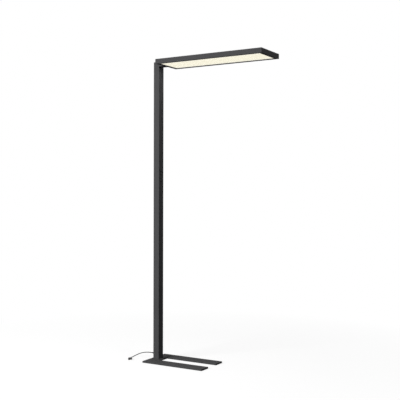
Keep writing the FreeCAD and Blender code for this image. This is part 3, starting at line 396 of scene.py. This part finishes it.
button_plastic = moulded("button_plastic", grey(0.011), 0.7, 0.00018, 0.000012, shine=0.1)
switch_plastic = moulded("switch_plastic", grey(0.03), 0.5, 0.0002, 0.000008)
BUTTONS = ("top", "upper", "lower", "bottom")
for level in BUTTONS:
    finish_nodes(button_plastic, f"{level}_button")
    finish_nodes(switch_plastic, f"{level}_switch_plunger")

# ---------------------------------------------------------------- switches behind the buttons
# A board with four tactile switches is screwed to a black moulded carrier, which slides in the post's
# channels. The board has a white solder mask over a faint weave, with rows of tinned pads.

solder_mask, start, end = new_group(
    "solder_mask",
    {"Pitch": ("Float", 0.004), "Colour": ("Color", (0.82, 0.83, 0.8, 1.0))},
    {"Colour": "Color", "Roughness": "Float", "Normal": "Vector"},
)
where = add(solder_mask, "TexCoord").outputs["Object"]
per_pad = maths(solder_mask, "DIVIDE", 1.0, start["Pitch"])
cells = add(
    solder_mask,
    "TexVoronoi",
    {"Vector": where, "Scale": per_pad, "Randomness": 0.0},
    feature="F1",
    distance="CHEBYCHEV",
).outputs["Distance"]
pads = spread(solder_mask, cells, 0.2, 0.17)
weave = add(
    solder_mask, "TexWave", {"Vector": where, "Scale": 900.0, "Distortion": 0.4}, bands_direction="DIAGONAL"
).outputs["Fac"]
tinned = mixed(solder_mask, pads, start["Colour"], (0.62, 0.6, 0.52, 1.0))
solder_mask.links.new(tinned, end["Colour"])
solder_mask.links.new(spread(solder_mask, pads, 0.0, 1.0, 0.42, 0.25), end["Roughness"])
height = maths(solder_mask, "ADD", pads, maths(solder_mask, "MULTIPLY", weave, 0.15))
raised = add(solder_mask, "Bump", {"Height": height, "Distance": 0.00003, "Strength": 1.0})
solder_mask.links.new(raised.outputs["Normal"], end["Normal"])

circuit_board, tree, shader = new_material("circuit_board", {"Specular IOR Level": 0.5})
skin = add(tree, "Group", {"Pitch": 0.006}, node_tree=solder_mask).outputs
tree.links.new(skin["Colour"], shader["Base Color"])
tree.links.new(skin["Roughness"], shader["Roughness"])
tree.links.new(skin["Normal"], shader["Normal"])
finish_nodes(circuit_board, "control_board", "led_strips", "uplight_board")

inner_plastic = moulded("inner_plastic", grey(0.035), 0.55, 0.0003, 0.00002)
finish_nodes(inner_plastic, "control_carrier", "cord_clamp")
finish_nodes(switch_plastic, "switch_housings")

# ---------------------------------------------------------------- driver, terminals and clamp
# A folded strip of zinc-plated steel stands in the post's rear channels. It carries the LED driver in
# its white case, the natural-coloured terminal block and the clamp that holds the mains lead.

zinc_steel = bare_metal("zinc_steel", (0.56, 0.57, 0.58, 1.0), 0.38, (30.0, 30.0, 2.0), 30.0, 0.000006)
finish_nodes(zinc_steel, "driver_bracket", "neck_backplate", "head_backplate")
finish_nodes(screw_steel, "driver_screws", "clamp_screws", "board_screws", "neck_screws", "head_screws")
driver_case = moulded("driver_case", (0.78, 0.78, 0.76, 1.0), 0.48, 0.0003, 0.00002, mottle=0.03)
finish_nodes(driver_case, "led_driver")
terminal_plastic = moulded("terminal_plastic", (0.74, 0.72, 0.64, 1.0), 0.4, 0.0004, 0.00001, mottle=0.03)
finish_nodes(terminal_plastic, "terminal_block", "head_terminal_block")

# ---------------------------------------------------------------- mains lead
# A round 5 mm two-core lead in black PVC. It leaves the strain relief straight, droops to the floor
# behind the lamp, and turns towards the near side, where its plug lies. The line's points are listed
# here, and are part.py's too.

lead_diameter = 0.005
lead_exit = (-0.0495, 0.0, 0.04)
lead_route = [
    lead_exit,
    (-0.0715, 0.0, 0.04),
    (-0.098, 0.0005, 0.0372),
    (-0.124, 0.001, 0.0318),
    (-0.147, 0.0016, 0.0244),
    (-0.1655, -0.0008, 0.0156),
    (-0.178, -0.0095, 0.0082),
    (-0.184, -0.023, 0.0038),
    (-0.1835, -0.038, 0.0027),
    (-0.179, -0.053, 0.0038),
    (-0.1707, -0.06742, 0.0068),
    (-0.1648, -0.079, 0.0068),
]
lead_line = bpy.data.curves.new("mains_lead_line", "CURVE")
lead_line.dimensions = "3D"
lead_line.bevel_depth = lead_diameter / 2
lead_line.bevel_resolution = 5
lead_line.resolution_u = 12
lead_line.use_fill_caps = True
spline = lead_line.splines.new("NURBS")
spline.points.add(len(lead_route) - 1)
for knot, place in zip(spline.points, lead_route):
    knot.co = (*place, 1.0)
spline.order_u = 3
spline.use_endpoint_u = True
lead = bpy.data.objects.new("mains_lead_pvc", lead_line)
bpy.context.collection.objects.link(lead)
cord_sheath = moulded("cord_sheath", grey(0.014), 0.75, 0.0006, 0.00001, shine=0.06)
lead_line.materials.append(cord_sheath)
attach(lead, "lamp")
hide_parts("mains_lead")
finish_nodes(cord_sheath, "lead_tail", "post_cable", "control_cable")

# ---------------------------------------------------------------- strain relief and plug
# The strain relief is soft moulded rubber, snapped into the post's back wall, with a grooved tapered
# sleeve. The plug is a small flat two-pin one, moulded on the lead, with nickel-plated pins.

relief_rubber = moulded("relief_rubber", grey(0.02), 0.68, 0.0003, 0.00002, shine=0.35)
finish_nodes(relief_rubber, "strain_relief")
plug_plastic = moulded("plug_plastic", grey(0.022), 0.5, 0.0002, 0.000012, shine=0.45)
finish_nodes(plug_plastic, "plug_body")
pin_metal = bare_metal("pin_metal", (0.74, 0.72, 0.68, 1.0), 0.2, (10.0, 10.0, 10.0), 120.0)
finish_nodes(pin_metal, "plug_pins")

# ---------------------------------------------------------------- neck and head frame
# The neck is a solid aluminium block, screwed to the post from inside. The head's frame is four lengths
# of one extrusion, mitred at the corners, with a wide rim that hides the light's edge. All are powder
# coated.

finish_nodes(coated_aluminium, "neck_block", "near_rail", "far_rail", "post_end_rail", "free_end_rail")

# ---------------------------------------------------------------- light inside the head
# The diffuser is 3 mm opal acrylic with a satin lower face. LEDs along both long sides shine into a
# clear light guide above it, whose print of fine dots sends the light down, and white film above that
# turns back the rest.

opal_glow, start, end = new_group(
    "opal_glow",
    {
        "Middle": ("Color", (1.0, 0.95, 0.74, 1.0)),
        "Sides": ("Color", (1.0, 0.96, 0.8, 1.0)),
        "Half": ("Float", 0.1),
    },
    {"Light": "Color", "Normal": "Vector"},
)
where = add(opal_glow, "TexCoord").outputs["Object"]
across = maths(opal_glow, "ABSOLUTE", add(opal_glow, "SeparateXYZ", {0: where}).outputs["Y"])
side = maths(opal_glow, "DIVIDE", across, start["Half"])
lit = mixed(opal_glow, spread(opal_glow, side, 0.5, 1.0), start["Middle"], start["Sides"])
dots = add(opal_glow, "TexVoronoi", {"Vector": where, "Scale": 700.0}).outputs["Distance"]
even = spread(opal_glow, dots, 0.0, 1.0, 0.99, 1.0)
light = add(opal_glow, "VectorMath", {0: lit, "Scale": even}, operation="SCALE").outputs[0]
opal_glow.links.new(light, end["Light"])
satin = noise(opal_glow, where, 2500.0)
frosted = add(opal_glow, "Bump", {"Height": satin, "Distance": 0.000002, "Strength": 1.0})
opal_glow.links.new(frosted.outputs["Normal"], end["Normal"])


def opal(name, half_width, strength, output):
    """Lit opal acrylic, brighter at its long sides. It lights output times as strongly as it looks."""
    material, tree, shader = new_material(name, {"Base Color": (0.55, 0.54, 0.5, 1.0), "Roughness": 0.6})
    seen = add(tree, "LightPath").outputs["Is Camera Ray"]
    tree.links.new(spread(tree, seen, 0.0, 1.0, strength * output, strength), shader["Emission Strength"])
    skin = add(tree, "Group", {"Half": half_width}, node_tree=opal_glow).outputs
    tree.links.new(mixed(tree, seen, (1.0, 1.0, 1.0, 1.0), skin["Light"]), shader["Emission Color"])
    tree.links.new(skin["Normal"], shader["Normal"])
    return material


rim_width = 0.021
opal_diffuser = opal("opal_diffuser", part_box("diffuser")[1].y - rim_width, 0.76, output=3.3)
finish_nodes(opal_diffuser, "diffuser")

clear_acrylic, tree, shader = new_material("clear_acrylic", {"Transmission Weight": 1.0, "IOR": 1.49})
where = add(tree, "TexCoord").outputs["Object"]
printed = add(tree, "TexVoronoi", {"Vector": where, "Scale": 450.0, "Randomness": 0.0}).outputs["Distance"]
dots = spread(tree, printed, 0.32, 0.28)
tree.links.new(mixed(tree, dots, (0.97, 0.98, 0.98, 1.0), (0.9, 0.9, 0.9, 1.0)), shader["Base Color"])
tree.links.new(spread(tree, dots, 0.0, 1.0, 0.03, 0.5), shader["Roughness"])
finish_nodes(clear_acrylic, "light_guide")

white_film = moulded("white_film", (0.9, 0.9, 0.9, 1.0), 0.35, 0.0004, 0.000006, mottle=0.01)
finish_nodes(white_film, "reflector_sheet")

foam_values = {"Specular IOR Level": 0.2, "Roughness": 0.95}
closed_cell_foam, tree, shader = new_material("closed_cell_foam", foam_values)
where = add(tree, "TexCoord").outputs["Object"]
foam_cells = {"Vector": where, "Scale": 1500.0}
cells = add(tree, "TexVoronoi", foam_cells, feature="DISTANCE_TO_EDGE").outputs["Distance"]
# Painted shade: the cells' hollows, which the bump sinks into pits, are coloured darker than their walls.
tree.links.new(mixed(tree, spread(tree, cells, 0.0, 0.2), grey(0.12), grey(0.05)), shader["Base Color"])
pits = add(tree, "Bump", {"Height": cells, "Distance": 0.0002, "Strength": 0.6}, invert=True)
tree.links.new(pits.outputs["Normal"], shader["Normal"])
finish_nodes(closed_cell_foam, "foam_pad")

mill_finish = (0.74, 0.745, 0.75, 1.0)
bare_aluminium = bare_metal("bare_aluminium", mill_finish, 0.3, (1.0, 50.0, 50.0), 25.0, 0.000008)
finish_nodes(bare_aluminium, "back_plate", "corner_keys")

# ---------------------------------------------------------------- top of the head
# A coated aluminium cover lies in the frame, level with its edge, on four small screws. An opal window
# in its middle lets the upward light out to the ceiling.

finish_nodes(coated_aluminium, "top_cover")
opal_window = opal("opal_window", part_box("uplight_diffuser")[1].y, 0.35, output=1.0)
finish_nodes(opal_window, "uplight_diffuser")
low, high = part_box("cover_screws")
cover_head_radius = 0.0028
cover_head_height = 0.0012
cover_screw = socket_screw(
    "cover_screw",
    cover_head_radius,
    cover_head_height,
    shank_radius=0.0015,
    shank_length=high.z - low.z - cover_head_height,
)
upside_down = Matrix.Rotation(math.pi, 4, "X")
cover_places = []
for x in (low.x + cover_head_radius, high.x - cover_head_radius):
    for y in (low.y + cover_head_radius, high.y - cover_head_radius):
        cover_places.append(Matrix.Translation((x, y, high.z - cover_head_height)) @ upside_down)
set_out(cover_screw, "lamp", screw_steel, "cover_screws", cover_places)

# ---------------------------------------------------------------- floor
# A plain pale studio floor that takes the lamp's shadow and fades into the white of the background.
# From below it lets the camera through, so that the base's underside can be looked at.

bpy.ops.object.select_all(action="DESELECT")
bpy.ops.mesh.primitive_circle_add(vertices=96, radius=30.0, fill_type="NGON", location=(0.2, 0.0, 0.0))
floor = bpy.context.object
floor.name = "studio_floor"
floor_white = bpy.data.materials.new("studio_floor")
floor_white.use_nodes = True
tree = floor_white.node_tree
tree.nodes.clear()
shadow_share = 0.3
matt = add(tree, "BsdfDiffuse", {"Color": grey(0.12)}).outputs[0]
lit_part = add(tree, "BsdfDiffuse", {"Color": (shadow_share, shadow_share, shadow_share, 1.0)}).outputs[0]
floor_brightness = 1.08
glow_part = add(tree, "Emission", {"Strength": floor_brightness - shadow_share}).outputs[0]
near_floor = add(tree, "AddShader", {0: lit_part, 1: glow_part}).outputs[0]
far_floor = add(tree, "Emission", {"Strength": 1.0}).outputs[0]
where = add(tree, "TexCoord").outputs["Object"]
away = add(tree, "VectorMath", {0: where}, operation="LENGTH").outputs["Value"]
fade = spread(tree, away, 0.9, 2.2)
seen_floor = add(tree, "MixShader", {0: fade, 1: near_floor, 2: far_floor}).outputs[0]
rays = add(tree, "LightPath").outputs
mirrored = maths(tree, "MAXIMUM", rays["Is Glossy Ray"], rays["Is Transmission Ray"])
looked_at = maths(tree, "MAXIMUM", rays["Is Camera Ray"], mirrored)
from_above = add(tree, "MixShader", {0: looked_at, 1: matt, 2: seen_floor}).outputs[0]
clear = add(tree, "BsdfTransparent").outputs[0]
below = maths(tree, "MULTIPLY", add(tree, "NewGeometry").outputs["Backfacing"], rays["Is Camera Ray"])
floor_surface = add(tree, "MixShader", {0: below, 1: from_above, 2: clear}).outputs[0]
add(tree, "OutputMaterial", {"Surface": floor_surface})
floor.data.materials.append(floor_white)

# ---------------------------------------------------------------- studio light
# White all round for what the camera and polished surfaces see, dimmer for what it lights. A large soft
# box stands to the left of the camera, smaller ones behind the lamp and high at its free end, and one
# hangs above.

world = bpy.data.worlds.new("white_studio")
bpy.context.scene.world = world
world.use_nodes = True
tree = world.node_tree
tree.nodes.clear()
rays = add(tree, "LightPath").outputs
mirrored = maths(tree, "MAXIMUM", rays["Is Glossy Ray"], rays["Is Transmission Ray"])
looked_at = maths(tree, "MAXIMUM", rays["Is Camera Ray"], mirrored)
room = add(tree, "Background", {"Strength": 0.11}).outputs[0]
backdrop = add(tree, "Background", {"Color": (1.0, 1.0, 1.0, 1.0), "Strength": 1.0}).outputs[0]
sky = add(tree, "MixShader", {0: looked_at, 1: room, 2: backdrop}).outputs[0]
add(tree, "OutputWorld", {"Surface": sky})
tree.nodes["Background"].inputs["Color"].default_value = (1.0, 1.0, 1.0, 1.0)


def soft_box(name, place, aim, wide, high, power):
    light = bpy.data.lights.new(name, "AREA")
    light.shape = "RECTANGLE"
    light.size = wide
    light.size_y = high
    light.energy = power
    box = bpy.data.objects.new(name, light)
    box.location = place
    box.rotation_euler = (Vector(aim) - Vector(place)).to_track_quat("-Z", "Y").to_euler()
    bpy.context.collection.objects.link(box)


lamp_middle = (0.2, 0.0, 1.1)
soft_box("key_light", (-1.8, -4.4, 2.2), lamp_middle, 2.4, 2.4, 274.0)
soft_box("back_light", (-2.5, 4.2, 2.2), lamp_middle, 2.2, 2.2, 36.0)
soft_box("side_light", (2.9, -0.9, 2.9), (0.3, 0.0, 1.7), 1.4, 1.4, 20.0)
soft_box("top_light", (0.3, 0.2, 4.8), lamp_middle, 3.0, 3.0, 30.0)

# ---------------------------------------------------------------- camera
# Fitted to the photograph's straight edges: it stands 4.9 m away, at table height, 31 degrees round
# from the lamp's near side, and looks almost level.

yaw = math.radians(30.829)
down = math.radians(0.416)
roll = math.radians(0.135)
photo_width = 400
focal_pixels = 740.4
sensor = 36.0
camera_data = bpy.data.cameras.new("photo_camera")
camera_data.sensor_width = sensor
camera_data.lens = focal_pixels / photo_width * sensor
camera = bpy.data.objects.new("photo_camera", camera_data)
turned = Matrix.Rotation(yaw, 4, "Z") @ Matrix.Rotation(math.pi / 2 - down, 4, "X")
camera.matrix_world = Matrix.Translation((2.727, -4.0371, 1.0853)) @ turned @ Matrix.Rotation(roll, 4, "Z")
bpy.context.collection.objects.link(camera)
bpy.context.scene.camera = camera
bpy.context.scene.view_settings.view_transform = "Standard"
